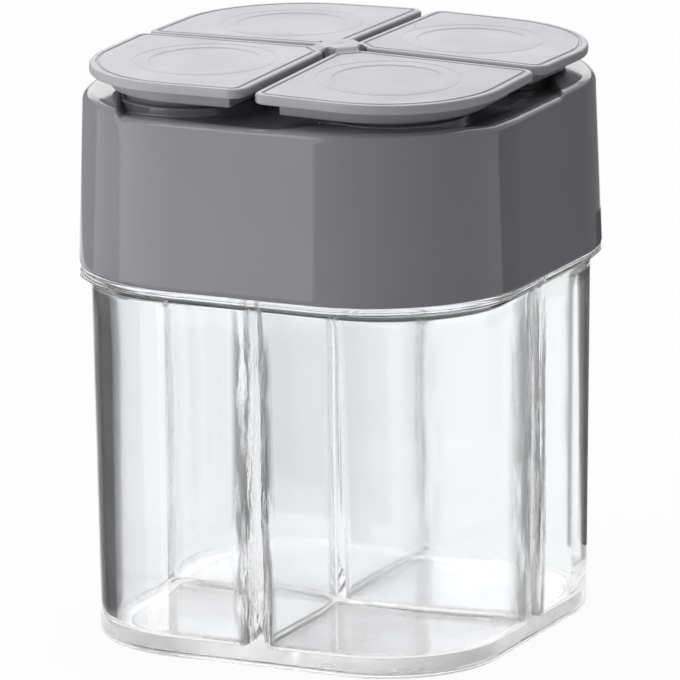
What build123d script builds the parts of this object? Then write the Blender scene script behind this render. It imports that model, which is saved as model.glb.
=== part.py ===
from build123d import *
from math import cos, radians, sin, sqrt, tan
import os

# A table-top box for four spices: a clear square jar with a cross divider, a grey cap that pushes
# over the jar's neck, and four flaps that hinge on one hub in the middle of the cap.
# Millimetres, +Z up, origin at the middle of the jar's base, front face towards -Y.

# Cap: a rounded square that narrows towards the top
cap_width = 84.0
cap_corner = 28.6
cap_height = 31.0
cap_taper = 0.93
cap_corner_taper = 0.7
cap_wall = 1.5
cap_top_round = 1.2

# Jar below the cap, which overhangs it on every side
jar_height = 67.6
cap_overhang = 3.3
jar_taper = 0.7
jar_corner = 21.4
jar_base_round = 1.3
jar_wall = 1.7
floor_thickness = 3.4
foot_inset = 5.0
foot_recess = 0.6

# Flange that the cap stands on, and the neck that the cap slides over
flange_thickness = 1.4
flange_inset = 0.2
neck_height = 11.0
neck_wall = 1.5
mouth_chamfer = 0.4

# Compartments and the cross between them
divider = 1.9
cell_round = 2.0
cell_draft = 0.3

# Snap beads on the neck's flats, and the ledges inside the cap that pass over them
bead_length = 26.0
bead_reach = 1.3
bead_rise = 5.5
ledge_rise = 3.0
ledge_drop = 0.9
snap_clearance = 0.3

# Deck of the cap, with its dish and the finger scoop on each side
deck_thickness = 1.7
dish_depth = 2.0
dish_border = 9.0
dish_corner = 17.0
dish_slope = 20.0
scoop_start = -24.2
scoop_end = 7.9
scoop_length = 16.0
scoop_start_flare = 6.4
scoop_end_flare = 9.0
scoop_lip = 0.5
inner_wall = 1.3
rib_gap = 0.3

# Wells and sprinkle holes under the flaps
well_radius = 11.9
well_margin = 1.3
well_wall = 1.3
well_height = 1.8
hole_radius = 1.8
hole_ring_radius = 5.0
hole_count = 3

# Flaps, each one quarter of the top, whose skirts end just above the cap
flap_seat = 0.42
flap_inset = 3.2
flap_corner = 22.5
flap_tip = 1.5
flap_gap = 2.0
flap_thickness = 1.7
flap_edge = 0.4
groove_inset = 1.2
groove_width = 0.5
groove_depth = 0.25
skirt_inset = 3.8
skirt_wall = 1.2
skirt_height = 2.5
plug_clearance = 0.4
plug_wall = 1.2
plug_height = 4.5

# Turn of each flap's diagonal about Z, and how far it slopes down towards its outer corner
flap_turn = {"front_right": -45, "back_right": 45, "back_left": 135, "front_left": 225}
flap_droop = {"front_right": 1.55, "back_right": 1.55, "back_left": 1.55, "front_left": 0.7}

# Hub that the flaps hinge on, and the socket that holds its post
hub_half = 5.3
hub_thickness = 2.2
hub_rise = 0.55
hub_round = 0.5
hinge_gap = 0.3
post_radius = 3.2
socket_clearance = 0.1
socket_wall = 1.6
socket_height = 2.0

cap_half = cap_width / 2
cap_top = jar_height + cap_height
jar_top_half = cap_half - cap_overhang
jar_base_half = jar_top_half - jar_taper
dish_half = cap_half - dish_border
dish_floor = cap_top - dish_depth
deck_underside = dish_floor - deck_thickness
neck_top = jar_height + neck_height
cell_half = jar_base_half - jar_wall
cell_corner = jar_corner - jar_wall
cell_growth = (neck_top - floor_thickness) * tan(radians(cell_draft))
mouth_half = cell_half + cell_growth
neck_half = mouth_half + neck_wall
neck_corner = cell_corner + neck_wall
hinge_reach = hub_half / sqrt(2)
hinge_cut = (hinge_reach + hinge_gap) * sqrt(2)
well_centre = dish_half - well_margin - well_radius
plug_radius = well_radius - plug_clearance
flap_half = cap_half - flap_inset
steepest = radians(max(flap_droop.values()))
skirt_reach = (flap_half - skirt_inset) * sqrt(2) - (flap_corner - skirt_inset) * (sqrt(2) - 1)
skirt_drop = skirt_reach * sin(steepest) + (flap_thickness + skirt_height) * cos(steepest)
flap_height = cap_top + flap_seat + skirt_drop


def cap_section(height, inset):
    """Half width and corner radius of the cap's outline at a height, moved in by inset."""
    share = (height - jar_height) / cap_height
    return cap_half - cap_taper * share - inset, cap_corner - cap_corner_taper * share - inset


def rounded_square(half, corner):
    """Rounded square centred on the workplane."""
    return RectangleRounded(2 * half, 2 * half, corner)


def rounded_edge(radius):
    """Two distances, from one face and from the other, at the start, middle and end of a round."""
    middle = radius - radius / sqrt(2)
    return (radius, 0), (middle, middle), (0, radius)


def cell_plan(growth):
    """Plan of the compartment in the quarter with +X and +Y, its sides moved out by growth."""
    start = divider / 2 - growth
    with BuildSketch() as plan:
        rounded_square(cell_half + growth, cell_corner)
        with Locations((start, start)):
            Rectangle(cell_half, cell_half, align=(Align.MIN, Align.MIN), mode=Mode.INTERSECT)
        fillet(plan.vertices().filter_by(lambda v: min(v.X, v.Y) < divider), cell_round)
    return plan.sketch


# Space of one compartment, from the floor to the mouth
with BuildPart() as cavity:
    with BuildSketch(Plane.XY.offset(floor_thickness)):
        add(cell_plan(0))
    with BuildSketch(Plane.XY.offset(neck_top)):
        add(cell_plan(cell_growth))
    loft(ruled=True)

# Flange round the jar's shoulder
with BuildPart() as flange:
    with BuildSketch(Plane.XY.offset(jar_height - flange_thickness)):
        rounded_square(cap_half - flange_inset, cap_corner - flange_inset)
    extrude(amount=flange_thickness)

# Snap bead on the neck's back flat
with BuildPart() as bead:
    with BuildSketch(Plane.YZ):
        with BuildLine():
            Polyline(
                (neck_half, jar_height + bead_rise - bead_reach),
                (neck_half + bead_reach, jar_height + bead_rise),
                (neck_half, jar_height + bead_rise + bead_reach),
                close=True,
            )
        make_face()
    extrude(amount=bead_length / 2, both=True)

# Ledge inside the cap's back wall, below the bead
with BuildPart() as ledge:
    ledge_root = cap_section(jar_height + ledge_rise, cap_wall / 2)[0]
    ledge_tip = neck_half + bead_reach + snap_clearance
    with BuildSketch(Plane.YZ):
        with BuildLine():
            Polyline(
                (ledge_root, jar_height + ledge_rise - ledge_drop),
                (ledge_tip, jar_height + ledge_rise),
                (ledge_root, jar_height + ledge_rise + ledge_drop),
                close=True,
            )
        make_face()
    extrude(amount=bead_length / 2, both=True)

# Finger scoop cut into the front edge of the cap's top
with BuildPart() as scoop:
    rim = -cap_section(cap_top, 0)[0]
    with BuildSketch(Plane.XY.offset(dish_floor)):
        with BuildLine():
            Polyline(
                (scoop_start, -cap_half),
                (scoop_start, rim),
                (scoop_start - scoop_start_flare, rim + scoop_length),
                (scoop_end + scoop_end_flare, rim + scoop_length),
                (scoop_end, rim),
                (scoop_end, -cap_half),
                close=True,
            )
        make_face()
    extrude(amount=2 * dish_depth)
    with BuildSketch(Plane.YZ):
        with BuildLine():
            Polyline(
                (-cap_half, cap_top + dish_depth),
                (-cap_half, cap_top - scoop_lip),
                (rim, cap_top - scoop_lip),
                (-dish_half, dish_floor),
                (rim + scoop_length, dish_floor),
                (rim + scoop_length, cap_top + dish_depth),
                close=True,
            )
        make_face()
    extrude(amount=cap_half, both=True, mode=Mode.INTERSECT)

# Jar: outer wall, floor, cross divider, flange and neck in one moulding
with BuildPart() as jar_body:
    for inset, rise in rounded_edge(jar_base_round):
        with BuildSketch(Plane.XY.offset(rise)):
            rounded_square(jar_base_half - inset, jar_corner - inset)
    with BuildSketch(Plane.XY.offset(jar_height)):
        rounded_square(jar_top_half, jar_corner)
    loft(ruled=True)
    with BuildSketch():
        rounded_square(jar_base_half - foot_inset, jar_corner - foot_inset)
    extrude(amount=foot_recess, mode=Mode.SUBTRACT)
    add(flange.part)
    with BuildSketch(Plane.XY.offset(jar_height)):
        rounded_square(neck_half, neck_corner)
    extrude(amount=neck_height)
    chamfer(faces().sort_by(Axis.Z)[-1].edges(), mouth_chamfer)
    with PolarLocations(0, 4):
        add(bead.part)
    with PolarLocations(0, 4):
        add(cavity.part, mode=Mode.SUBTRACT)

# Cap: outer shell, deck, inner wall over the neck and ribs over the cross
with BuildPart() as cap_shell:
    with BuildSketch(Plane.XY.offset(jar_height)):
        rounded_square(*cap_section(jar_height, 0))
    for drop, inset in rounded_edge(cap_top_round):
        with BuildSketch(Plane.XY.offset(cap_top - drop)):
            rounded_square(*cap_section(cap_top - drop, inset))
    loft(ruled=True)
    with BuildSketch(Plane.XY.offset(jar_height)):
        rounded_square(*cap_section(jar_height, cap_wall))
    with BuildSketch(Plane.XY.offset(deck_underside)):
        rounded_square(*cap_section(deck_underside, cap_wall))
    loft(ruled=True, mode=Mode.SUBTRACT)
    with BuildSketch(Plane.XY.offset(deck_underside)):
        rounded_square(mouth_half + inner_wall, cell_corner + inner_wall)
        with PolarLocations(0, 4):
            add(cell_plan(cell_growth), mode=Mode.SUBTRACT)
    extrude(amount=neck_top + rib_gap - deck_underside)
    with PolarLocations(0, 4):
        add(ledge.part)
    with BuildSketch(Plane.XY.offset(cap_top)):
        rounded_square(dish_half, dish_corner)
    extrude(amount=-dish_depth, taper=dish_slope, mode=Mode.SUBTRACT)
    with PolarLocations(0, 4):
        add(scoop.part, mode=Mode.SUBTRACT)
    with BuildSketch(Plane.XY.offset(dish_floor)):
        with PolarLocations(well_centre * sqrt(2), 4, start_angle=45):
            Circle(well_radius + well_wall)
            Circle(well_radius, mode=Mode.SUBTRACT)
    extrude(amount=well_height)
    with BuildSketch(Plane.XY.offset(dish_floor)):
        Circle(post_radius + socket_clearance + socket_wall)
        Circle(post_radius + socket_clearance, mode=Mode.SUBTRACT)
    extrude(amount=socket_height)
    with BuildSketch(Plane.XY.offset(dish_floor)):
        with PolarLocations(well_centre * sqrt(2), 4, start_angle=45):
            with PolarLocations(hole_ring_radius, hole_count):
                Circle(hole_radius)
    extrude(amount=-deck_thickness, mode=Mode.SUBTRACT)

# Plan of one flap in the quarter with +X and +Y, with its inner corner cut for the hinge
with BuildSketch() as flap_plan:
    with BuildLine():
        Polyline(
            (flap_gap / 2, hinge_cut - flap_gap / 2),
            (flap_gap / 2, flap_half),
            (flap_half, flap_half),
            (flap_half, flap_gap / 2),
            (hinge_cut - flap_gap / 2, flap_gap / 2),
            close=True,
        )
    make_face()
    fillet(flap_plan.vertices().group_by(SortBy.DISTANCE)[-2], flap_tip)
    fillet(flap_plan.vertices().sort_by(SortBy.DISTANCE)[-1], flap_corner)

# Fine groove inside the flap's border, and the skirt and round plug under it
with BuildSketch() as groove_plan:
    offset(flap_plan.sketch, amount=-groove_inset, mode=Mode.ADD)
    offset(flap_plan.sketch, amount=-groove_inset - groove_width, mode=Mode.SUBTRACT)

with BuildSketch() as skirt_plan:
    offset(flap_plan.sketch, amount=-skirt_inset, mode=Mode.ADD)
    offset(flap_plan.sketch, amount=-skirt_inset - skirt_wall, mode=Mode.SUBTRACT)

with BuildSketch() as plug_plan:
    with Locations((well_centre, well_centre)):
        Circle(plug_radius)
        Circle(plug_radius - plug_wall, mode=Mode.SUBTRACT)

flaps = {}
for place, turn in flap_turn.items():
    flap_plane = Plane.XY.offset(flap_height).rotated((0, 0, -45))
    flap_plane = flap_plane.rotated((0, flap_droop[place], 0)).rotated((0, 0, turn))
    with BuildPart() as flap:
        with BuildSketch(flap_plane):
            add(flap_plan.sketch)
        extrude(amount=-flap_thickness)
        chamfer(faces().sort_by(Axis.Z)[-1].edges(), flap_edge)
        with BuildSketch(flap_plane):
            add(groove_plan.sketch)
        extrude(amount=-groove_depth, mode=Mode.SUBTRACT)
        with BuildSketch(flap_plane.offset(-flap_thickness)):
            add(skirt_plan.sketch)
        extrude(amount=-skirt_height)
        with BuildSketch(flap_plane.offset(-flap_thickness)):
            add(plug_plan.sketch)
        extrude(amount=-plug_height)
    flaps["flap_" + place] = flap.part

# Hub: a square turned by 45 degrees whose sides are the flaps' hinge lines, on a round post
with BuildPart() as flap_hub:
    with BuildSketch(Plane.XY.offset(flap_height + hub_rise)):
        Rectangle(2 * hinge_reach, 2 * hinge_reach, rotation=45)
    extrude(amount=-hub_thickness)
    fillet(faces().sort_by(Axis.Z)[-1].edges(), hub_round)
    with BuildSketch(Plane.XY.offset(dish_floor)):
        Circle(post_radius)
    extrude(amount=flap_height + hub_rise - hub_thickness - dish_floor)

jar_body.part.label = "jar_body"
cap_shell.part.label = "cap_shell"
flap_hub.part.label = "flap_hub"

os.makedirs("parts", exist_ok=True)
export_step(jar_body.part, "parts/jar_body.step")
export_step(cap_shell.part, "parts/cap_shell.step")
export_step(flap_hub.part, "parts/flap_hub.step")
for name, piece in flaps.items():
    piece.label = name
    export_step(piece, "parts/" + name + ".step")
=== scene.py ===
import math

import bmesh
import bpy
import numpy as np
from mathutils import Matrix, Vector
from mathutils.geometry import tessellate_polygon


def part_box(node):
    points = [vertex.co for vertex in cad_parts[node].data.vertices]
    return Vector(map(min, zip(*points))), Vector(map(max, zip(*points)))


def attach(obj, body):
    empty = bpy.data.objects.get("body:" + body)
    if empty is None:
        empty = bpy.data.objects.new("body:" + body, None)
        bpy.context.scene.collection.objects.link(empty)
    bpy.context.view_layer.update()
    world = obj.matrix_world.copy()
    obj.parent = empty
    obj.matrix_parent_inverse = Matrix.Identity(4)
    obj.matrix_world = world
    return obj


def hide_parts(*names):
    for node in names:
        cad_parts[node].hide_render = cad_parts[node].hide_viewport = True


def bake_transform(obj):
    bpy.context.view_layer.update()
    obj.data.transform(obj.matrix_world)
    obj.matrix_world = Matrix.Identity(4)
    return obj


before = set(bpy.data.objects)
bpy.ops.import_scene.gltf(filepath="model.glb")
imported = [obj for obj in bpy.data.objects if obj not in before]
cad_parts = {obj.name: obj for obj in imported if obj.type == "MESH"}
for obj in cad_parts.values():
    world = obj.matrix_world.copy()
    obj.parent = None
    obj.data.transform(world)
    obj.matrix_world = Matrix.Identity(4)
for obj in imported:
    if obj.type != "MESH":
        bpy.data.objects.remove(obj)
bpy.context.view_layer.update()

# Heights and the cap's half width that the frame gives, in millimetres; every shape below is worked
# out in millimetres
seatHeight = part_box("cap_shell")[0][2] * 1000
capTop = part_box("cap_shell")[1][2] * 1000
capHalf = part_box("cap_shell")[1][0] * 1000
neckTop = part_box("jar_body")[1][2] * 1000
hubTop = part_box("flap_hub")[1][2] * 1000
print("frame loaded: cap seat %.1f, cap top %.1f, hub top %.1f mm" % (seatHeight, capTop, hubTop))

quarterSigns = ((1, 1), (-1, 1), (-1, -1), (1, -1))    # the plan's four quarters, anticlockwise
beadFullness = 0.8    # power below 1 that makes the section of a bead or ledge fuller
# Points this close become one and edges this short go, in metres; sharper turns than the angle are
# shaded as edges
weldDistance, sliverLength, sharpAngle = 2e-6, 1e-7, math.radians(40)


def smoothStep(share):
    share = np.clip(share, 0, 1)
    return share * share * (3 - 2 * share)


def cornerLoop(corners, radii, arcCuts, sideCuts):
    # Rounded convex outline, anticlockwise. The arc at a corner is centred radius / sin(half angle)
    # along the bisector and turns by 180 degrees less the corner's angle; the sides between the
    # arcs are cut evenly, so two loops with the same cuts always have the same number of points.
    corners = np.array(corners, float)
    arcs = []
    for here, before, after, radius in zip(corners, np.roll(corners, 1, 0), np.roll(corners, -1, 0), radii):
        back = (before - here) / np.linalg.norm(before - here)
        ahead = (after - here) / np.linalg.norm(after - here)
        half = 0.5 * math.acos(back @ ahead)
        centre = here + (back + ahead) / np.linalg.norm(back + ahead) * radius / math.sin(half)
        start = here + back * radius / math.tan(half) - centre
        angle = np.linspace(0, math.pi - 2 * half, arcCuts + 1)[:, None]
        arcs.append(centre + np.cos(angle) * start + np.sin(angle) * np.array([-start[1], start[0]]))
    share = np.linspace(0, 1, sideCuts + 1)[1:-1, None]
    sides = [arc[-1] + (arcs[(i + 1) % len(arcs)][0] - arc[-1]) * share for i, arc in enumerate(arcs)]
    return np.vstack([part for pair in zip(arcs, sides) for part in pair])


def squareLoop(half, radius, arcCuts=24, sideCuts=24):
    return cornerLoop([(half, -half), (half, half), (-half, half), (-half, -half)], [radius] * 4,
                      arcCuts, sideCuts)


def circleLoop(centre, radius, cuts=96):
    angle = np.linspace(0, 2 * math.pi, cuts, endpoint=False)
    return np.array(centre) + radius * np.c_[np.cos(angle), np.sin(angle)]


def lifted(loop, height):
    return np.c_[loop, np.broadcast_to(height, len(loop))]


def circleRings(spot, profile, cuts=96):
    # One circle round the spot for each radius and height of a profile
    return [lifted(circleLoop(spot, radius, cuts), height) for radius, height in profile]


def quarterRound(radius, cuts=5):
    # Two distances along a quarter round: the first falls from the radius to 0, the second rises
    # from 0 to the radius
    angle = np.linspace(0, math.pi / 2, cuts)
    return list(zip(radius * (1 - np.sin(angle)), radius * (1 - np.cos(angle))))


def roundedSquareDistance(x, y, half, radius):
    # Distance outside a rounded square, negative inside it
    dx, dy = np.abs(x) - half + radius, np.abs(y) - half + radius
    outside = np.hypot(np.maximum(dx, 0), np.maximum(dy, 0))
    return outside + np.minimum(np.maximum(dx, dy), 0) - radius


def newShell():
    return {"points": [], "faces": [], "count": 0}


def addLoft(shell, loops):
    # Surface of two parameters: which loop, and how far round it
    grid = np.array(loops)
    rows, columns = grid.shape[:2]
    row, column = np.meshgrid(np.arange(rows - 1), np.arange(columns), indexing="ij")
    beside = (column + 1) % columns
    quads = np.stack([row * columns + column, row * columns + beside,
                      (row + 1) * columns + beside, (row + 1) * columns + column], -1)
    shell["faces"] += (quads.reshape(-1, 4) + shell["count"]).tolist()
    shell["points"].append(grid.reshape(-1, 3))
    shell["count"] += rows * columns


def addFlat(shell, outer, holes, height):
    # Level face at one height between an outline and its holes
    loops = [np.asarray(outer)] + [np.asarray(hole) for hole in holes]
    triangles = tessellate_polygon([lifted(loop, 0).tolist() for loop in loops])
    shell["faces"] += [[shell["count"] + i for i in triangle] for triangle in triangles]
    shell["points"].append(lifted(np.vstack(loops), height))
    shell["count"] += sum(len(loop) for loop in loops)


def makePiece(name, shell, material, body, node=None, place=None):
    points = np.vstack(shell["points"])
    if place is not None:
        points = points @ place[:3, :3].T + place[:3, 3]
    mesh = bpy.data.meshes.new(name)
    mesh.from_pydata((points / 1000).tolist(), [], shell["faces"])
    work = bmesh.new()
    work.from_mesh(mesh)
    bmesh.ops.remove_doubles(work, verts=work.verts, dist=weldDistance)
    bmesh.ops.dissolve_degenerate(work, dist=sliverLength, edges=work.edges)
    bmesh.ops.recalc_face_normals(work, faces=work.faces)
    if work.calc_volume(signed=True) < 0:
        bmesh.ops.reverse_faces(work, faces=work.faces)
    openEdges = sum(len(edge.link_faces) != 2 for edge in work.edges)
    work.to_mesh(mesh)
    work.free()
    mesh.shade_smooth()
    mesh.set_sharp_from_angle(angle=sharpAngle)
    mesh.materials.append(material)
    piece = bpy.data.objects.new(name, mesh)
    bpy.context.scene.collection.objects.link(piece)
    if body:
        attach(piece, body)
    if node:
        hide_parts(node)
    print("%s: %d faces, %d open edges" % (name, len(mesh.polygons), openEdges))
    return piece


def linearColour(code):
    # "#rrggbb" in sRGB to the linear values that the shader takes
    values = np.array([int(code[i:i + 2], 16) for i in (1, 3, 5)]) / 255
    linear = np.where(values <= 0.04045, values / 12.92, ((values + 0.055) / 1.055) ** 2.4)
    return tuple(linear) + (1.0,)


def addNode(material, kind, inputs=None, **settings):
    tree = material.node_tree
    node = tree.nodes.new(kind)
    for key, value in settings.items():
        setattr(node, key, value)
    for key, value in (inputs or {}).items():
        if isinstance(value, bpy.types.NodeSocket):
            tree.links.new(value, node.inputs[key])
        else:
            node.inputs[key].default_value = value
    return node


def newMaterial(name):
    material = bpy.data.materials.new(name)
    material.use_nodes = True
    material.node_tree.nodes.clear()
    return material


def combine(owner, operation, *values):
    # Maths on up to three numbers or sockets
    return addNode(owner, "ShaderNodeMath", dict(enumerate(values)), operation=operation).outputs[0]


def mapRange(owner, value, start, end, low=0.0, high=1.0):
    return addNode(owner, "ShaderNodeMapRange", {
        "Value": value, "From Min": start, "From Max": end, "To Min": low, "To Max": high}).outputs["Result"]


def mixColours(owner, share, first, second):
    # Inputs 6 and 7 of a colour mix are its two colours, and output 2 is the mixed one
    return addNode(owner, "ShaderNodeMix", {"Factor": share, 6: first, 7: second},
                   data_type="RGBA").outputs[2]


def addNoise(owner, place, scale, detail, roughness=0.5):
    return addNode(owner, "ShaderNodeTexNoise", {
        "Vector": place, "Scale": scale, "Detail": detail, "Roughness": roughness}).outputs["Fac"]


def addBump(owner, height, depth, strength=1.0, below=None):
    # Depth is in metres, and below is the bump that this one lies on
    inputs = {"Height": height, "Strength": strength, "Distance": depth}
    if below is not None:
        inputs["Normal"] = below
    return addNode(owner, "ShaderNodeBump", inputs).outputs["Normal"]


# Widths, lengths and heights of the materials are in millimetres, scales in features to the metre
noiseLow, noiseHigh = 0.3, 0.7    # most of a noise texture lies between these
clearStyrene = {
    # Under the foot a pale warm grey is painted in as shade, for the table seen through the floor;
    # footScatter is how much of the textured underside scatters as a matt surface
    "colour": "#fdfeff", "footPaintedShade": "#f1ebe9", "footScatter": 0.11, "ior": 1.57,
    "roughness": (0.01, 0.06, 0.22),    # outside, in the compartments, under the foot
    "wearScale": 90.0, "wearSpread": (0.7, 1.3),
    "flowWidth": 12.0, "flowHeight": (0.01, 0.05),    # slow waves outside and in the compartments
    "streakWidth": 1.5, "streakLength": 12.0, "streakHeight": 0.6,
    # Painted shade on the junction streaks in the compartments: its dark colour, the part of the grain it
    # covers, and its largest share
    "paintedShadeColour": "#2c3138", "paintedShadeEdges": (0.4, 0.56), "paintedShadeShare": 0.6,
}
glossAbs = {
    "colour": "#86858b", "flowColour": "#8a898f", "roughness": (0.07, 0.11),
    "fineWidth": 1.6, "fineHeight": 0.0012,    # faint orange peel
    "sinkWidth": 18.0, "sinkHeight": 0.01,    # slow sink of a moulded wall
}
satinPolypropylene = {
    "colour": "#b1b0b7", "flowColour": "#b6b5bc", "roughness": (0.3, 0.4),
    "fineWidth": 0.45, "fineHeight": 0.0016,    # grain of a spark-eroded mould
    "sinkWidth": 16.0, "sinkHeight": 0.008,
}
opaqueFlow = {"scale": 28.0, "detail": 3.0, "roughness": 0.55, "edges": (0.35, 0.65)}
opaqueWear = {"scale": 120.0, "detail": 5.0}
opaqueIor = 1.5


def makeClearStyrene():
    # Clear styrene-acrylonitrile, injection moulded. The outside is polished and nearly flat, the core
    # leaves the compartments a little soft and wavy, and the textured underside scatters a little and has a
    # pale warm grey painted in as shade. Where the dividers meet the outer wall, long streaks bend the light
    # hard, and on some of them in the compartments a dark painted shade is mixed in.
    settings = clearStyrene
    material = newMaterial("clearMouldedStyrene")
    place = addNode(material, "ShaderNodeTexCoord").outputs["Object"]
    finish = addNode(material, "ShaderNodeAttribute", attribute_name="mouldFinish").outputs["Fac"]
    meeting = addNode(material, "ShaderNodeAttribute", attribute_name="meetingLineAndPaintedShade").outputs["Fac"]
    under = mapRange(material, finish, 1.0, 2.0)

    # Roughness by finish, a little uneven from handling
    wear = addNoise(material, place, settings["wearScale"], 4.0)
    spread = mapRange(material, wear, noiseLow, noiseHigh, *settings["wearSpread"])
    steps = addNode(material, "ShaderNodeFloatCurve", {"Value": combine(material, "MULTIPLY", finish, 0.5)})
    curve = steps.mapping.curves[0]
    curve.points[0].location = (0.0, settings["roughness"][0])
    curve.points[1].location = (1.0, settings["roughness"][2])
    curve.points.new(0.5, settings["roughness"][1])
    steps.mapping.update()
    gloss = combine(material, "MULTIPLY", steps.outputs[0], spread)

    # Slow waves everywhere, and the streaks on top of them
    waves = addNoise(material, place, 1000 / settings["flowWidth"], 1.0, 0.4)
    outsideHeight, insideHeight = settings["flowHeight"]
    depth = mapRange(material, finish, 0.0, 1.0, outsideHeight / 1000, insideHeight / 1000)
    bump = addBump(material, waves, depth)
    across, along = 1000 / settings["streakWidth"], 1000 / settings["streakLength"]
    long = addNode(material, "ShaderNodeMapping", {"Vector": place, "Scale": (across, across, along)})
    grain = addNoise(material, long.outputs[0], 1.0, 3.0)
    streakBump = addBump(material, grain, settings["streakHeight"] / 1000, meeting, bump)
    # Painted shade: along the junctions in the compartments, a dark colour is mixed in and the plastic is
    # made less clear
    streaks = mapRange(material, grain, *settings["paintedShadeEdges"], 0.0, settings["paintedShadeShare"])
    paintedShadeLined = combine(material, "MULTIPLY", meeting, streaks)
    paintedShade = combine(material, "MULTIPLY", paintedShadeLined, finish)

    # The warm grey under the foot is painted shade
    tint = mixColours(material, under, linearColour(settings["colour"]), linearColour(settings["footPaintedShade"]))
    dark = mixColours(material, paintedShade, tint, linearColour(settings["paintedShadeColour"]))
    through = combine(material, "MULTIPLY_ADD", under, -settings["footScatter"], 1.0)
    clear = combine(material, "SUBTRACT", through, paintedShade)
    shader = addNode(material, "ShaderNodeBsdfPrincipled", {
        "Base Color": dark, "Roughness": gloss, "IOR": settings["ior"], "Transmission Weight": clear,
        "Normal": streakBump})
    addNode(material, "ShaderNodeOutputMaterial", {"Surface": shader.outputs["BSDF"]})
    return material


def makeOpaquePlastic(name, settings):
    # Two shades that the flow leaves, an uneven gloss from handling, and a fine relief over a slow one
    material = newMaterial(name)
    place = addNode(material, "ShaderNodeTexCoord").outputs["Object"]
    flow = addNoise(material, place, opaqueFlow["scale"], opaqueFlow["detail"], opaqueFlow["roughness"])
    tint = addNode(material, "ShaderNodeValToRGB", {"Fac": flow})
    shades = (settings["colour"], settings["flowColour"])
    for element, position, shade in zip(tint.color_ramp.elements, opaqueFlow["edges"], shades):
        element.position = position
        element.color = linearColour(shade)
    handled = addNoise(material, place, opaqueWear["scale"], opaqueWear["detail"])
    gloss = mapRange(material, handled, noiseLow, noiseHigh, *settings["roughness"])
    fine = addNoise(material, place, 1000 / settings["fineWidth"], 2.0)
    fineBump = addBump(material, fine, settings["fineHeight"] / 1000)
    sink = addNoise(material, place, 1000 / settings["sinkWidth"], 1.0)
    bump = addBump(material, sink, settings["sinkHeight"] / 1000, below=fineBump)
    shader = addNode(material, "ShaderNodeBsdfPrincipled", {
        "Base Color": tint.outputs["Color"], "Roughness": gloss, "IOR": opaqueIor, "Normal": bump})
    addNode(material, "ShaderNodeOutputMaterial", {"Surface": shader.outputs["BSDF"]})
    return material


clearPlastic = makeClearStyrene()
# Acrylonitrile butadiene styrene from a polished mould: soft mirror gloss with a faint orange peel
capPlastic = makeOpaquePlastic("glossMouldedAbs", glossAbs)
# Polypropylene from a fine spark-eroded mould: a waxy satin that spreads the highlights
flapPlastic = makeOpaquePlastic("satinMouldedPolypropylene", satinPolypropylene)
print("materials ready")


jar = {
    "baseHalf": 38.0, "topHalf": 38.7, "corner": 21.4, "baseRound": 1.3,
    "wall": 1.7, "floor": 3.4, "floorRound": 0.9,
    "footInset": 5.0, "footRecess": 0.6, "footRound": 0.3,
    "flangeThickness": 1.4, "flangeInset": 0.2, "flangeCorner": 28.4, "flangeRound": 0.4, "flangeRoot": 2.3,
    "seamHeight": 0.55, "seamWidth": 0.32, "seamDepth": 0.1,
    "neckWall": 1.5, "neckRoot": 0.3, "mouthRound": 0.4, "cellLip": 0.25,
    "dividerFoot": 3.0, "dividerTop": 1.1, "cellRound": 2.0, "cellCorner": 21.6, "cellGrowth": 0.394,
    "beadLength": 26.0, "beadReach": 1.25, "beadRise": 5.5, "beadHalf": 1.5, "beadEnds": 1.5,
    # Streaked lines with their painted shade where the dividers meet the outer wall: how far they reach
    # from the divider's middle, outside and in the compartments, how far from the outer wall, and how wide
    # they fade
    "lineReach": (2.9, 3.9), "lineFade": 0.9, "lineDepth": 4.4, "lineDepthFade": 0.8,
    "lineSide": 30.0, "faintLinesAndShade": 0.12,
}


def cellLoop(height, inset=0.0, corner=jar["cellCorner"]):
    # Compartment in the +X +Y quarter: a square with three tight corners and one that follows the
    # jar's corner. Its far and near sides move apart in proportion to the height above the jar's
    # floor, so the divider is thin at the mouth and thick at its foot; inset draws the loop in.
    share = (height - jar["floor"]) / (neckTop - jar["floor"])
    far = jar["baseHalf"] - jar["wall"] + jar["cellGrowth"] * share - inset
    near = (jar["dividerFoot"] + (jar["dividerTop"] - jar["dividerFoot"]) * share) / 2 + inset
    tight = jar["cellRound"] - inset
    return cornerLoop([(far, near), (far, far), (near, far), (near, near)],
                      [tight, corner - inset, tight, tight], 14, 10)


def quarterTurns(points):
    x, y = points[:, 0], points[:, 1]
    rest = points[:, 2:]
    return [np.c_[x, y, rest], np.c_[-y, x, rest], np.c_[-x, -y, rest], np.c_[y, -x, rest]]


def inFourQuarters(loops):
    # The loops of one compartment, turned into each of the four in the order of quarterSigns
    return list(zip(*[quarterTurns(loop) for loop in loops]))


def pushSides(points, half, reach, length, ends):
    # Moves the middle of each flat side outwards by reach, fading over the ends
    x, y = points[:, 0].copy(), points[:, 1].copy()
    points = points.copy()
    for axis, along, across in ((0, y, x), (1, x, y)):
        window = smoothStep((length / 2 + ends / 2 - np.abs(along)) / ends)
        points[:, axis] += np.where(np.abs(np.abs(across) - half) < 1e-6, np.sign(across) * reach * window, 0)
    return points


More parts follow.
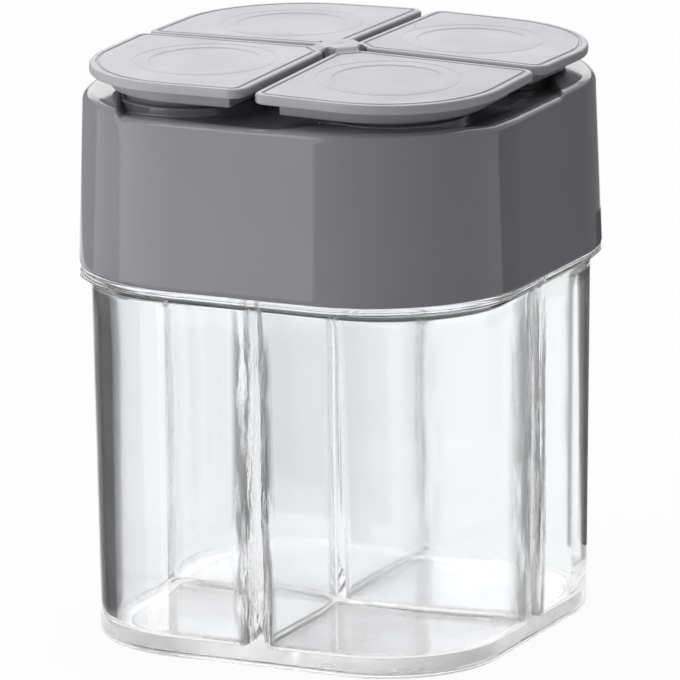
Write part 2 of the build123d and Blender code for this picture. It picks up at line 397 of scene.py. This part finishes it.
def jarOutside():
    # From the middle of the underside over the foot, the wall, the flange and the neck to the mouth.
    # Each ring is a rounded square, half wide and radius at the corners, let out by the same distance
    # in both. A ring close beside the end of a round keeps the face next to it flat in shading.
    loops = []

    def ring(square, out, height, bead=0.0):
        half, radius = square[0] + out, square[1] + out
        points = lifted(squareLoop(half, radius, 28, 40), height)
        if bead:
            points = pushSides(points, half, bead, jar["beadLength"], jar["beadEnds"])
        loops.append(points)

    foot = (jar["baseHalf"] - jar["footInset"], jar["corner"] - jar["footInset"])
    recess = jar["footRecess"]
    ring(foot, -1.0, recess)
    ring(foot, -0.1, recess)
    ring(foot, 0, recess - 0.1)
    for rise, out in quarterRound(jar["footRound"]):
        ring(foot, out, rise)
    ring(foot, jar["footRound"] + 0.2, 0)
    base = (jar["baseHalf"], jar["corner"])
    ring(base, -jar["baseRound"] - 0.2, 0)
    for left, rise in quarterRound(jar["baseRound"], 7):
        ring(base, -left, rise)

    # The wall leans out towards the flange, and the corner's radius stays
    lean = (jar["topHalf"] - jar["baseHalf"]) / (seatHeight - jar["baseRound"])
    underFlange = seatHeight - jar["flangeThickness"]
    for height in np.linspace(jar["baseRound"] + 0.4, underFlange - jar["flangeRoot"] - 0.3, 12):
        ring((jar["baseHalf"] + lean * (height - jar["baseRound"]), jar["corner"]), 0, height)
    wall = (jar["baseHalf"] + lean * (underFlange - jar["baseRound"]), jar["corner"])
    for out, drop in reversed(quarterRound(jar["flangeRoot"])):
        ring(wall, out, underFlange - drop)

    # Flange, with the seam where the mould's halves meet
    flange = (capHalf - jar["flangeInset"], jar["flangeCorner"])
    edge, seam = jar["flangeRound"], underFlange + jar["seamHeight"]
    ring(flange, -edge - 0.2, underFlange)
    for left, rise in quarterRound(edge):
        ring(flange, -left, underFlange + rise)
    for side, depth in ((-1, 0), (0, jar["seamDepth"]), (1, 0)):
        ring(flange, -depth, seam + side * jar["seamWidth"] / 2)
    for rise, left in quarterRound(edge):
        ring(flange, -left, seatHeight - rise)

    # Neck with its four snap beads, and the outer edge of the mouth
    neck = (jar["baseHalf"] - jar["wall"] + jar["cellGrowth"] + jar["neckWall"],
            jar["corner"] - jar["wall"] + jar["neckWall"])
    ring(neck, jar["neckRoot"] + 0.2, seatHeight)
    for out, rise in quarterRound(jar["neckRoot"]):
        ring(neck, out, seatHeight + rise)
    for offset in np.linspace(-jar["beadHalf"], jar["beadHalf"], 13):
        reach = jar["beadReach"] * max(math.cos(offset / jar["beadHalf"] * math.pi / 2), 0) ** beadFullness
        ring(neck, 0, seatHeight + jar["beadRise"] + offset, reach)
    for rise, left in quarterRound(jar["mouthRound"]):
        ring(neck, -left, neckTop - rise)
    ring(neck, -jar["mouthRound"] - 0.15, neckTop)
    return loops


def jarCell():
    # One compartment, from its lip at the mouth down to its floor
    lip, floor, corner = jar["cellLip"], jar["floor"], jar["floorRound"]
    loops = [lifted(cellLoop(neckTop, -lip - 0.05), neckTop)]
    loops += [lifted(cellLoop(neckTop, -out), neckTop - drop) for out, drop in quarterRound(lip)]
    loops += [lifted(cellLoop(height), height)
              for height in np.linspace(neckTop - lip - 0.4, floor + corner + 0.4, 8)]
    loops += [lifted(cellLoop(floor, out), floor + rise) for rise, out in quarterRound(corner, 7)]
    loops.append(lifted(cellLoop(floor, corner + 0.2), floor))
    return loops


def markMoulding(piece):
    # Mould finish by place: 0 on the polished outside, 1 inside the compartments, 2 under the foot
    mesh = piece.data
    points = np.empty(len(mesh.vertices) * 3, np.float32)
    mesh.vertices.foreach_get("co", points)
    x, y, z = points.reshape(-1, 3).T * 1000
    outwards = roundedSquareDistance(x, y, jar["baseHalf"], jar["corner"])
    inside = (outwards < -0.6 * jar["wall"]) & (z > jar["floor"] - 0.1) & (z < neckTop - 0.1)
    under = (outwards < 0.1 - jar["baseRound"]) & (z < jar["footRecess"] + 0.1)
    finish = np.where(under, 2.0, np.where(inside, 1.0, 0.0))

    # Meeting lines, which carry the streaked relief and the painted shade: 1 on the tight rounds between
    # divider and outer wall, and on the outside beside them
    toDivider = np.minimum(np.abs(x), np.abs(y))
    toWall = jar["baseHalf"] - np.maximum(np.abs(x), np.abs(y))
    outsideReach, insideReach = jar["lineReach"]
    lineAndPaintedShade = smoothStep((np.where(finish == 1, insideReach, outsideReach) - toDivider) / jar["lineFade"])
    lineAndPaintedShade = lineAndPaintedShade * smoothStep((jar["lineDepth"] - toWall) / jar["lineDepthFade"])
    lineAndPaintedShade = lineAndPaintedShade * (finish < 2) * (z > jar["floor"] - 1) * (z < seatHeight - 5)
    # The photo shows them most at the front and on the right
    # Full relief and painted shade on the front and right junctions, a faint share on the others
    lineAndPaintedShade = lineAndPaintedShade * np.where((y < -jar["lineSide"]) | (x > jar["lineSide"]), 1.0, jar["faintLinesAndShade"])
    for name, values in (("mouldFinish", finish), ("meetingLineAndPaintedShade", lineAndPaintedShade)):
        values = values.astype(np.float32)
        mesh.attributes.new(name, "FLOAT", "POINT").data.foreach_set("value", values)


def buildJar():
    shell = newShell()
    outside = jarOutside()
    addLoft(shell, outside)
    addFlat(shell, outside[0][:, :2], [], jar["footRecess"])
    mouthHoles = []
    for cell in inFourQuarters(jarCell()):
        addLoft(shell, cell)
        addFlat(shell, cell[-1][:, :2], [], jar["floor"])
        mouthHoles.append(cell[0][:, :2])
    addFlat(shell, outside[-1][:, :2], mouthHoles, neckTop)
    markMoulding(makePiece("clearJar", shell, clearPlastic, "jar", "jar_body"))


buildJar()


cap = {
    "taper": 0.93, "corner": 28.6, "cornerTaper": 0.7, "wall": 1.5, "topRound": 2.0, "rimRound": 0.35,
    "deck": 1.7, "ceilingRound": 0.3,
    "dishDepth": 2.0, "dishHalf": 33.0, "dishCorner": 17.0, "dishRun": 0.9, "dishMargin": 1.4,
    # Ends of the scoops: where each starts and ends on the rim, how far the ends flare by the
    # scoop's full length and how wide their slopes are; front and back first, then the two sides
    "scoopLength": 16.0, "scoopLip": 0.5,
    "scoopEnds": ((-24.2, 7.9, 6.4, 9.0, 1.0, 6.0), (-24.2, 5.0, 6.4, 24.0, 6.0, 1.0)),
    # The raised pads end this far from the diagonal through their corners, with a slope this wide
    "padHalf": 26.0, "padSlope": 4.0,
    "innerWall": 1.3, "innerRound": 0.25, "cellFootRound": 0.2, "cellTopRound": 0.3, "ribGap": 0.3,
    "ledgeRise": 3.0, "ledgeDrop": 0.9, "ledgeReach": 0.5, "ledgeLength": 26.0, "ledgeEnds": 1.5,
    "wellCentre": 19.8, "wellRadius": 11.9, "wellWall": 1.3, "wellHeight": 1.8,
    "collarRoot": 0.4, "collarRound": 0.35, "collarSink": 0.2,
    "holeRadius": 1.8, "holeRing": 5.0, "holeCount": 3, "holeRound": 0.2,
    "socketRadius": 3.3, "socketWall": 1.6, "socketHeight": 2.0,
}
dishFloor = capTop - cap["dishDepth"]
ceiling = dishFloor - cap["deck"]


def capSection(height, inset=0.0):
    share = (height - seatHeight) / (capTop - seatHeight)
    return capHalf - cap["taper"] * share - inset, cap["corner"] - cap["cornerTaper"] * share - inset


def topHeight(x, y):
    # Height of the cap's top: the border, less the dish, less one finger scoop on each side. A scoop
    # starts at the rim and slopes to the dish's floor. The border is a lip's depth lower round the
    # front right and back left corners, from scoop to scoop, so two raised pads are left.
    lip = cap["scoopLip"]
    border = capTop - lip * smoothStep((np.abs(x - y) / math.sqrt(2) - cap["padHalf"]) / cap["padSlope"])
    inside = -roundedSquareDistance(x, y, cap["dishHalf"], cap["dishCorner"]) / cap["dishRun"]
    height = border - (border - dishFloor) * smoothStep(inside)
    rim = capSection(capTop)[0]
    for turn, (cosine, sine) in enumerate([(1, 0), (0, 1), (-1, 0), (0, -1)]):
        start, end, startFlare, endFlare, startSlope, endSlope = cap["scoopEnds"][turn % 2]
        across, along = cosine * x + sine * y, cosine * y - sine * x
        depth = np.clip(rim + along, 0, None)
        share = np.minimum(depth / cap["scoopLength"], 1)
        window = smoothStep((across - start + startFlare * share) / startSlope) * (along < 0)
        window = window * smoothStep((end + endFlare * share - across) / endSlope)
        fall = np.clip(depth / (rim - cap["dishHalf"]), 0, 1)
        ramp = capTop - lip - (cap["dishDepth"] - lip) * fall
        height = np.minimum(height, border - np.maximum(border - ramp, 0) * window)
    return np.maximum(height, dishFloor)


def capOutside():
    # From the ceiling down the inside of the wall, round the rim, up the outside and over the top
    # edge, then the border, the scoops and the dish as one surface over the plan
    loops = []
    cuts = (72, 48)

    def ring(height, inset=0.0, ledge=0.0):
        half, radius = capSection(height, inset)
        points = lifted(squareLoop(half, radius, *cuts), height)
        if ledge:
            points = pushSides(points, half, -ledge, cap["ledgeLength"], cap["ledgeEnds"])
        loops.append(points)

    def topRing(half, radius, drop=0.0):
        plan = squareLoop(half, radius, *cuts)
        loops.append(lifted(plan, topHeight(plan[:, 0], plan[:, 1]) - drop))

    inner, edge = cap["wall"], cap["rimRound"]
    for out, drop in quarterRound(cap["ceilingRound"]):
        ring(ceiling - drop, inner + out)
    ring(ceiling - 8, inner)
    ledgeHeight = seatHeight + cap["ledgeRise"]
    ring(ledgeHeight + cap["ledgeDrop"] + 0.4, inner)
    for offset in np.linspace(1, -1, 9):
        reach = cap["ledgeReach"] * (1 - abs(offset)) ** beadFullness
        ring(ledgeHeight + offset * cap["ledgeDrop"], inner, reach)
    for rise, out in quarterRound(edge):
        ring(seatHeight + rise, inner - out)
    ring(seatHeight, inner - edge - 0.1)
    ring(seatHeight, edge + 0.1)
    for left, rise in quarterRound(edge):
        ring(seatHeight + rise, left)
    shoulder = capTop - cap["topRound"]
    for height in np.linspace(seatHeight + 1, shoulder - cap["scoopLip"] - 0.4, 10):
        ring(height)
    for drop, left in quarterRound(cap["topRound"], 9):
        topRing(*capSection(shoulder, left), drop)
    start = np.array(capSection(shoulder, cap["topRound"]))
    end = np.array([cap["dishHalf"], cap["dishCorner"]]) - cap["dishMargin"]
    for share in np.linspace(0, 1, 34)[1:]:
        topRing(*(start + (end - start) * share))
    return loops


def addBores(shell, signX, signY):
    # Sprinkle holes of one quarter, the first of them on the side of the cap's corner. Each is round
    # at both ends; its mouths in the deck and in the ceiling have the same outline, which is returned.
    lip = cap["holeRound"]
    profile = [(lip + 0.1, dishFloor)]
    profile += [(out, dishFloor - drop) for out, drop in quarterRound(lip)]
    profile += [(out, ceiling + drop) for drop, out in quarterRound(lip)]
    profile += [(lip + 0.1, ceiling)]
    profile = [(cap["holeRadius"] + out, height) for out, height in profile]
    mouths = []
    for index in range(cap["holeCount"]):
        angle = math.atan2(signY, signX) + 2 * math.pi * index / cap["holeCount"]
        spot = (signX * cap["wellCentre"] + cap["holeRing"] * math.cos(angle),
                signY * cap["wellCentre"] + cap["holeRing"] * math.sin(angle))
        bore = circleRings(spot, profile, 40)
        addLoft(shell, bore)
        mouths.append(bore[0][:, :2])
    return mouths


def addInnerWall(shell, wallOutline, mouths):
    # Inner wall over the jar's neck with a cell over each compartment, and the ceilings beside them
    wallFoot = neckTop + cap["ribGap"]
    half = jar["baseHalf"] - jar["wall"] + jar["cellGrowth"] + cap["innerWall"]
    radius = jar["corner"] - jar["wall"] + cap["innerWall"]
    profile = [(0.4, ceiling)]
    profile += [(out, ceiling - drop) for out, drop in quarterRound(cap["innerRound"])]
    profile += [(-left, wallFoot + rise) for rise, left in quarterRound(cap["innerRound"])]
    profile += [(-0.35, wallFoot)]
    skirt = [lifted(squareLoop(half + out, radius + out), height) for out, height in profile]
    addLoft(shell, skirt)
    addFlat(shell, wallOutline, [skirt[0][:, :2]], ceiling)
    profile = [(-0.3, wallFoot)]
    profile += [(-out, wallFoot + rise) for out, rise in quarterRound(cap["cellFootRound"])]
    profile += [(left, ceiling - drop) for drop, left in quarterRound(cap["cellTopRound"])]
    profile += [(0.4, ceiling)]
    corner = jar["corner"] - jar["wall"]
    loops = [lifted(cellLoop(neckTop, inset, corner), height) for inset, height in profile]
    footHoles = []
    for cell, cellMouths in zip(inFourQuarters(loops), mouths):
        addLoft(shell, cell)
        footHoles.append(cell[0][:, :2])
        addFlat(shell, cell[-1][:, :2], cellMouths, ceiling)
    addFlat(shell, skirt[-1][:, :2], footHoles, wallFoot)


def addCollar(shell, spot, radius, thickness, height):
    # Ring that stands on the deck and reaches a little into it
    outer, top, sunk = radius + thickness, dishFloor + height, dishFloor - cap["collarSink"]
    root, edge = cap["collarRoot"], cap["collarRound"]
    profile = [(outer + out, dishFloor + rise) for out, rise in quarterRound(root)]
    profile += [(outer - left, top - drop) for drop, left in quarterRound(edge)]
    profile += [(radius + left, top - drop) for left, drop in quarterRound(edge)]
    profile += [(radius, sunk), (outer + root, sunk)]
    addLoft(shell, circleRings(spot, profile + profile[:1]))


def buildCap():
    shell = newShell()
    outside = capOutside()
    addLoft(shell, outside)
    mouths = [addBores(shell, *signs) for signs in quarterSigns]
    addFlat(shell, outside[-1][:, :2], sum(mouths, []), dishFloor)
    addInnerWall(shell, outside[0][:, :2], mouths)
    # Collars that the plugs drop into, and the socket of the hub's post
    for signX, signY in quarterSigns:
        addCollar(shell, (signX * cap["wellCentre"], signY * cap["wellCentre"]),
                  cap["wellRadius"], cap["wellWall"], cap["wellHeight"])
    addCollar(shell, (0, 0), cap["socketRadius"], cap["socketWall"], cap["socketHeight"])
    makePiece("greyCap", shell, capPlastic, "cap", "cap_shell")


buildCap()


flap = {
    "half": 38.8, "corner": 22.5, "tip": 2.8, "gap": 2.0, "thickness": 1.7, "edge": 0.5, "lowerEdge": 0.3,
    "hingeCut": 5.725, "hingeTip": 0.4, "leastTip": 0.3,
    "grooveInset": 1.1, "grooveWidth": 0.7, "grooveDepth": 0.3, "grooveRoundness": 0.6,
    "plugCentre": 19.8, "discCentre": 17.8, "discRadius": 9.9, "discDepth": 0.15, "discSlope": 0.5,
    "ringRadius": 12.7, "ringDepth": 0.08, "ringWidth": 0.6,
    "skirtInset": 3.8, "skirtWall": 1.2, "skirtHeight": 2.5, "skirtRound": 0.3, "rootRound": 0.2,
    "plugRadius": 11.5, "plugWall": 1.2, "plugHeight": 4.5, "plugRound": 0.4,
    "turn": {"front_right": -45, "back_right": 45, "back_left": 135, "front_left": 225},
    "droop": {"front_right": 1.55, "back_right": 1.55, "back_left": 1.55, "front_left": 0.7},
}
hub = {
    "side": 3.748, "sideHalf": 2.5, "sideShrink": 0.4, "notch": 3.7,
    "thickness": 2.2, "rise": 0.55, "round": 0.5, "lowerRound": 0.2,
    "postRadius": 3.2, "postRound": 0.2, "dimpleRadius": 1.1, "dimpleDepth": 0.2,
    "filmStart": 3.1, "filmEnd": 5.0, "filmHalf": 2.3, "filmThickness": 0.45,
    "filmSink": (0.02, 0.03),    # how far the film's top lies below the hub's and the flap's
}
flapHeight = hubTop - hub["rise"]
flapUnder = -flap["thickness"]


def flapLoop(inset):
    # One quarter's outline: a square whose outer corner is round and whose inner corner is cut
    # along the hinge; each side moves in by inset, so the cut's x + y grows by root 2 of it.
    low, high = flap["gap"] / 2 + inset, flap["half"] - inset
    cut = flap["hingeCut"] + math.sqrt(2) * inset - low
    tip = max(flap["tip"] - inset, flap["leastTip"])
    return cornerLoop([(cut, low), (high, low), (high, high), (low, high), (low, cut)],
                      [flap["hingeTip"], tip, flap["corner"] - inset, tip, flap["hingeTip"]], 16, 14)


def flapRings(profile):
    return [lifted(flapLoop(inset), height) for inset, height in profile]


def addFlapTop(shell):
    # The plate's edge and the groove along its border, then the ring line and the shallow disc
    edge, lowerEdge = flap["edge"], flap["lowerEdge"]
    start, width, deep = flap["grooveInset"], flap["grooveWidth"], flap["grooveDepth"]
    plate = [(flap["skirtInset"] - flap["rootRound"] - 0.1, flapUnder), (0.3 + lowerEdge, flapUnder)]
    plate += [(left, flapUnder + rise) for left, rise in quarterRound(lowerEdge)]
    plate += [(left, -drop) for drop, left in quarterRound(edge, 7)]
    plate += [(edge + 0.15, 0), (start - 0.12, 0)]
    plate += [(start + width * share, -deep * math.sin(math.pi * share) ** flap["grooveRoundness"])
              for share in np.linspace(0, 1, 9)]
    plate += [(start + width + 0.12, 0), (start + width + 0.4, 0)]
    plateRings = flapRings(plate)
    addLoft(shell, plateRings)

    ringWidth, ringDepth = flap["ringWidth"], flap["ringDepth"]
    ringStart = flap["ringRadius"] + ringWidth / 2
    radius, slope, deep = flap["discRadius"], flap["discSlope"], flap["discDepth"]
    lines = [(ringStart + 0.1, 0)]
    lines += [(ringStart - ringWidth * share, -ringDepth * math.sin(math.pi * share) ** 2)
              for share in np.linspace(0, 1, 9)]
    lines += [(radius + 0.4, 0)]
    lines += [(radius + slope * (0.5 - share), -deep * smoothStep(share)) for share in np.linspace(0, 1, 6)]
    lines += [(radius - slope, -deep)]
    lineRings = circleRings([flap["discCentre"]] * 2, lines, 120)
    addLoft(shell, lineRings)
    addFlat(shell, plateRings[-1][:, :2], [lineRings[0][:, :2]], 0)
    addFlat(shell, lineRings[-1][:, :2], [], -deep)


def wallProfile(start, way, wall, deep, edge):
    # Section of a wall that hangs from the underside: down its near face and up its far one, with
    # rounds at the root and at the edge. The way from the near face to the far one is 1 or -1.
    root, foot = flap["rootRound"], flapUnder - deep
    far = start + way * wall
    profile = [(start - way * (root + 0.1), flapUnder)]
    profile += [(start - way * out, flapUnder - drop) for out, drop in quarterRound(root)]
    profile += [(start + way * left, foot + rise) for rise, left in quarterRound(edge)]
    profile += [(far - way * left, foot + rise) for left, rise in quarterRound(edge)]
    profile += [(far + way * out, flapUnder - drop) for drop, out in quarterRound(root)]
    return profile + [(far + way * (root + 0.1), flapUnder)]


def addFlapUnderside(shell):
    # The skirt inside the border, then the round plug
    skirt = flapRings(wallProfile(flap["skirtInset"], 1, flap["skirtWall"], flap["skirtHeight"],
                                  flap["skirtRound"]))
    addLoft(shell, skirt)
    plug = circleRings([flap["plugCentre"]] * 2, wallProfile(
        flap["plugRadius"], -1, flap["plugWall"], flap["plugHeight"], flap["plugRound"]), 120)
    addLoft(shell, plug)
    addFlat(shell, skirt[-1][:, :2], [plug[0][:, :2]], flapUnder)
    addFlat(shell, plug[-1][:, :2], [], flapUnder)


def buildFlap(place):
    # Built flat in the +X +Y quarter: turned to lie along +X, tipped down by its droop and turned to
    # its own corner
    shell = newShell()
    addFlapTop(shell)
    addFlapUnderside(shell)
    turned = (Matrix.Translation((0, 0, flapHeight))
              @ Matrix.Rotation(math.radians(flap["turn"][place]), 4, "Z")
              @ Matrix.Rotation(math.radians(flap["droop"][place]), 4, "Y")
              @ Matrix.Rotation(math.radians(-45), 4, "Z"))
    makePiece("flap_" + place + "_moulded", shell, flapPlastic, "flap_" + place,
              "flap_" + place, place=np.array(turned))


for place in flap["turn"]:
    buildFlap(place)


def hubLoop(inset):
    # Four straight sides that face the flaps, joined across each gap by an arc that dips towards
    # the middle: a circle through both ends of the dip and its lowest point.
    half, side = hub["sideHalf"] - hub["sideShrink"] * inset, hub["side"] - inset
    along = np.linspace(-half, half, 9)
    straight = np.c_[np.full(len(along), side), along] @ np.array([[1, -1], [1, 1]]).T / math.sqrt(2)
    end = straight[-1]
    dip = hub["notch"] - inset
    sag = end[1] - dip
    radius = (end[0] ** 2 + sag ** 2) / (2 * sag)
    sweep = math.asin(min(end[0] / radius, 1.0))
    angle = np.linspace(sweep, -sweep, 13)[1:-1]
    arc = np.c_[radius * np.sin(angle), dip + radius - radius * np.cos(angle)]
    return np.vstack(quarterTurns(np.vstack([straight, arc])))


def buildHub():
    shell = newShell()
    under, deep = hubTop - hub["thickness"], hub["dimpleDepth"]

    def ring(inset, height):
        return lifted(hubLoop(inset), height)

    loops = [ring(hub["lowerRound"] + 0.2, under)]
    loops += [ring(left, under + rise) for left, rise in quarterRound(hub["lowerRound"])]
    loops += [ring(left, hubTop - drop) for drop, left in quarterRound(hub["round"], 7)]
    last = ring(hub["round"], hubTop)
    for share in np.linspace(0.97, 0.08, 12):
        points = last * (share, share, 1)
        away = np.hypot(points[:, 0], points[:, 1])
        points[:, 2] -= deep * np.exp(-(away / hub["dimpleRadius"]) ** 2)
        loops.append(points)
    loops.append(last * (0.02, 0.02, 1) - (0, 0, deep))
    addLoft(shell, loops)
    addFlat(shell, loops[-1][:, :2], [], hubTop - deep)
    radius, edge = hub["postRadius"], hub["postRound"]
    post = circleRings((0, 0), [(radius + edge, under), (radius, under - edge),
                                (radius, dishFloor + edge), (radius - edge, dishFloor)], 64)
    addLoft(shell, post)
    addFlat(shell, loops[0][:, :2], [post[0][:, :2]], under)
    addFlat(shell, post[-1][:, :2], [], dishFloor)
    makePiece("flapHub", shell, flapPlastic, "cap", "flap_hub")


def buildHingeFilm(place):
    # Thin web from the hub to a flap, moulded in one with both: its top falls from the hub's to the
    # flap's with a smooth step, and its ends along the hinge draw in to a point.
    shell = newShell()
    share = np.linspace(0, 1, 17)
    out = hub["filmStart"] + (hub["filmEnd"] - hub["filmStart"]) * share
    flapTop = flapHeight - out * math.sin(math.radians(flap["droop"][place]))
    hubSink, flapSink = hub["filmSink"]
    top = hubTop - hubSink + (flapTop - flapSink - hubTop + hubSink) * smoothStep(share * 1.15 - 0.1)
    under = np.minimum(flapTop, flapHeight) - hub["filmThickness"]
    section = np.vstack([np.c_[out, top], np.c_[out, under][::-1]])
    middle = section.mean(0)
    core = middle[1] - 0.1
    loops = []
    for along in np.linspace(-1, 1, 25):
        shrink = max(1 - abs(along) ** 8, 0) ** 0.5
        height = core + (section[:, 1] - core) * shrink
        loops.append(np.c_[section[:, 0], np.full(len(section), along * hub["filmHalf"]), height])
    loops[0][:, 0] = loops[-1][:, 0] = middle[0]
    addLoft(shell, loops)
    turn = math.radians(flap["turn"][place])
    turned = np.array(Matrix.Rotation(turn, 4, "Z"))
    film = makePiece("hinge_film_" + place, shell, flapPlastic, None, place=turned)
    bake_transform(film)


buildHub()
for place in flap["turn"]:
    buildHingeFilm(place)
print("pieces ready")


studio = {
    "floorColour": "#f7f6f5", "floorHalf": 3.0, "floorWhite": 0.96, "worldLight": 0.24,
    # Lamps round the object: turn from the camera (left is negative), distance and height of the
    # middle, width and height, all in metres and degrees, and the brightness of the panel's face.
    # They aim at the object's axis, no higher than aimTop.
    "aimTop": 0.09,
    "lamps": {
        "frontLeftPanel": (-66, 0.25, 0.15, 0.26, 0.30, 1.2),
        "highKey": (-70, 0.5, 0.65, 0.3, 0.3, 2.4),
        "overhead": (175, 0.45, 0.65, 0.9, 0.6, 1.5),
        "backlight": (180, 0.9, 0.37, 0.9, 0.28, 1.1),
    },
    # Upright grey cards close beside the object that glow as painted reflections: only its reflections
    # and refractions show them, as dark bands. Points along the card, each right of the object's axis,
    # towards the camera and how bright the card is there, then the card's lowest and highest height
    "paintedReflectionCards": {
        "rightBackPaintedReflection": ([(0.0455, -0.050, 0.3), (0.050, -0.048, 0.2), (0.055, -0.046, 0.1),
                           (0.060, -0.044, 0.05), (0.066, -0.041, 0.05), (0.070, -0.039, 0.1),
                           (0.080, -0.035, 0.25)], 0.0, 0.064),
        "rightRearPaintedReflection": ([(0.0320, -0.0275, 0.06), (0.0321, -0.0335, 0.06)], 0.0, 0.064),
        "rightHighPaintedReflection": ([(0.070, 0.03, 0.23), (0.071, -0.12, 0.26)], 0.052, 0.11),
        "leftLowPaintedReflection": ([(-0.051, 0.03, 0.09), (-0.051, 0.010, 0.085), (-0.051, 0.006, 0.13),
                         (-0.051, 0.003, 0.12), (-0.051, 0.0, 0.03), (-0.051, -0.003, 0.12),
                         (-0.051, -0.007, 0.3), (-0.051, -0.013, 0.9)], 0.0, 0.064),
        "leftHighPaintedReflection": ([(-0.066, 0.0, 0.4), (-0.071, -0.14, 0.2)], 0.06, 0.11),
    },
    "sensor": 36.0, "lens": 554.3, "nearest": 0.1, "farthest": 50.0,    # camera, mm and metres
    "viewDistance": 1.864, "viewHeight": 0.0509, "viewShift": 0.0004,
    # Light runs along the dividers by total reflection, so it needs more turns than the default 12
    "lightTurns": 40,
}
viewYaw, viewPitch, viewRoll = (math.radians(value) for value in (25.3, 13.7, -0.5))


def aroundObject(turn, distance, height):
    # Point at a turn from the camera's side, clockwise seen from above when negative
    angle = viewYaw + math.radians(turn)
    return Vector((math.sin(angle) * distance, -math.cos(angle) * distance, height))


def whiteRays(owner):
    # 1 for what the camera sees straight, mirrored or through clear plastic, and 0 for the light that
    # falls on matt surfaces, also inside the jar
    seen = addNode(owner, "ShaderNodeLightPath").outputs
    glossy = combine(owner, "MAXIMUM", seen["Is Camera Ray"], seen["Is Glossy Ray"])
    clear = combine(owner, "MAXIMUM", glossy, seen["Is Transmission Ray"])
    direct = combine(owner, "LESS_THAN", seen["Diffuse Depth"], 0.5)
    return combine(owner, "MULTIPLY", clear, direct)


def makeFloor():
    mesh = bpy.data.meshes.new("studioFloor")
    half = studio["floorHalf"]
    corners = [(signX * half, signY * half, 0) for signX, signY in quarterSigns]
    mesh.from_pydata(corners, [], [(0, 1, 2, 3)])
    material = newMaterial("paintedStudioFloor")
    share = combine(material, "MULTIPLY", whiteRays(material), studio["floorWhite"])
    paint = addNode(material, "ShaderNodeBsdfDiffuse", {"Color": linearColour(studio["floorColour"])})
    white = addNode(material, "ShaderNodeEmission", {"Color": (1, 1, 1, 1), "Strength": 1.0})
    mix = addNode(material, "ShaderNodeMixShader", {
        "Fac": share, 1: paint.outputs[0], 2: white.outputs[0]})
    addNode(material, "ShaderNodeOutputMaterial", {"Surface": mix.outputs[0]})
    mesh.materials.append(material)
    floor = bpy.data.objects.new("studioFloor", mesh)
    bpy.context.scene.collection.objects.link(floor)


def makeWorld():
    world = bpy.data.worlds.new("studioWorld")
    world.use_nodes = True
    world.node_tree.nodes.clear()
    light = addNode(world, "ShaderNodeBackground", {"Color": (1, 1, 1, 1), "Strength": studio["worldLight"]})
    white = addNode(world, "ShaderNodeBackground", {"Color": (1, 1, 1, 1), "Strength": 1.0})
    mix = addNode(world, "ShaderNodeMixShader", {
        "Fac": whiteRays(world), 1: light.outputs[0], 2: white.outputs[0]})
    addNode(world, "ShaderNodeOutputWorld", {"Surface": mix.outputs[0]})
    bpy.context.scene.world = world


def addPanel(name, turn, distance, middle, width, height, brightness):
    # Lambert's law: a panel's power is its face's brightness times its area times pi
    data = bpy.data.lights.new(name, "AREA")
    data.shape = "RECTANGLE"
    data.size, data.size_y = width, height
    data.energy = math.pi * width * height * brightness
    lamp = bpy.data.objects.new(name, data)
    place = aroundObject(turn, distance, middle)
    lamp.location = place
    aim = Vector((0, 0, min(middle, studio["aimTop"])))
    lamp.rotation_euler = (aim - place).to_track_quat("-Z", "Y").to_euler()
    bpy.context.scene.collection.objects.link(lamp)


def addPaintedReflectionCard(name, stations, low, high):
    # The card glows in its grey as a painted reflection, and neither the camera nor the lamps' shadows show
    # it
    stations = np.array(stations)
    right = np.array([math.cos(viewYaw), math.sin(viewYaw)])
    towards = np.array([math.sin(viewYaw), -math.cos(viewYaw)])
    foot = stations[:, :2] @ np.array([right, towards])
    count = len(foot)
    index = np.arange(count - 1)
    mesh = bpy.data.meshes.new(name)
    mesh.from_pydata(np.vstack([lifted(foot, low), lifted(foot, high)]).tolist(), [],
                     np.c_[index, index + 1, index + count + 1, index + count].tolist())
    grey = np.tile(stations[:, 2], 2).astype(np.float32)
    mesh.attributes.new("paintedReflectionGrey", "FLOAT", "POINT").data.foreach_set("value", grey)
    material = newMaterial(name + "Card")
    strength = addNode(material, "ShaderNodeAttribute", attribute_name="paintedReflectionGrey")
    paint = addNode(material, "ShaderNodeEmission", {"Strength": strength.outputs["Fac"]})
    addNode(material, "ShaderNodeOutputMaterial", {"Surface": paint.outputs[0]})
    mesh.materials.append(material)
    paintedCard = bpy.data.objects.new(name, mesh)
    paintedCard.visible_camera = paintedCard.visible_shadow = False
    bpy.context.scene.collection.objects.link(paintedCard)


def makeCamera():
    # Fitted to the outlines of the cap, the jar and the flaps in the photograph
    yaw, pitch, roll = viewYaw, viewPitch, viewRoll
    back = Vector((math.sin(yaw) * math.cos(pitch), -math.cos(yaw) * math.cos(pitch), math.sin(pitch)))
    right = Vector((math.cos(yaw), math.sin(yaw), 0))
    up = back.cross(right)
    axes = (right * math.cos(roll) + up * math.sin(roll), up * math.cos(roll) - right * math.sin(roll), back)
    data = bpy.data.cameras.new("photoCamera")
    data.sensor_width, data.lens = studio["sensor"], studio["lens"]
    data.clip_start, data.clip_end = studio["nearest"], studio["farthest"]
    camera = bpy.data.objects.new("photoCamera", data)
    place = Vector((0, 0, studio["viewHeight"])) - right * studio["viewShift"]
    place = place + back * studio["viewDistance"]
    rotation = Matrix(axes).transposed().to_4x4()
    camera.matrix_world = Matrix.Translation(place) @ rotation
    bpy.context.scene.collection.objects.link(camera)
    bpy.context.scene.camera = camera


makeFloor()
makeWorld()
for name, values in studio["lamps"].items():
    addPanel(name, *values)
for name, values in studio["paintedReflectionCards"].items():
    addPaintedReflectionCard(name, *values)
makeCamera()
bpy.context.scene.view_settings.view_transform = "Standard"
bpy.context.scene.cycles.max_bounces = studio["lightTurns"]
bpy.context.scene.cycles.transmission_bounces = studio["lightTurns"]
bpy.context.scene.cycles.glossy_bounces = studio["lightTurns"]
print("studio ready")
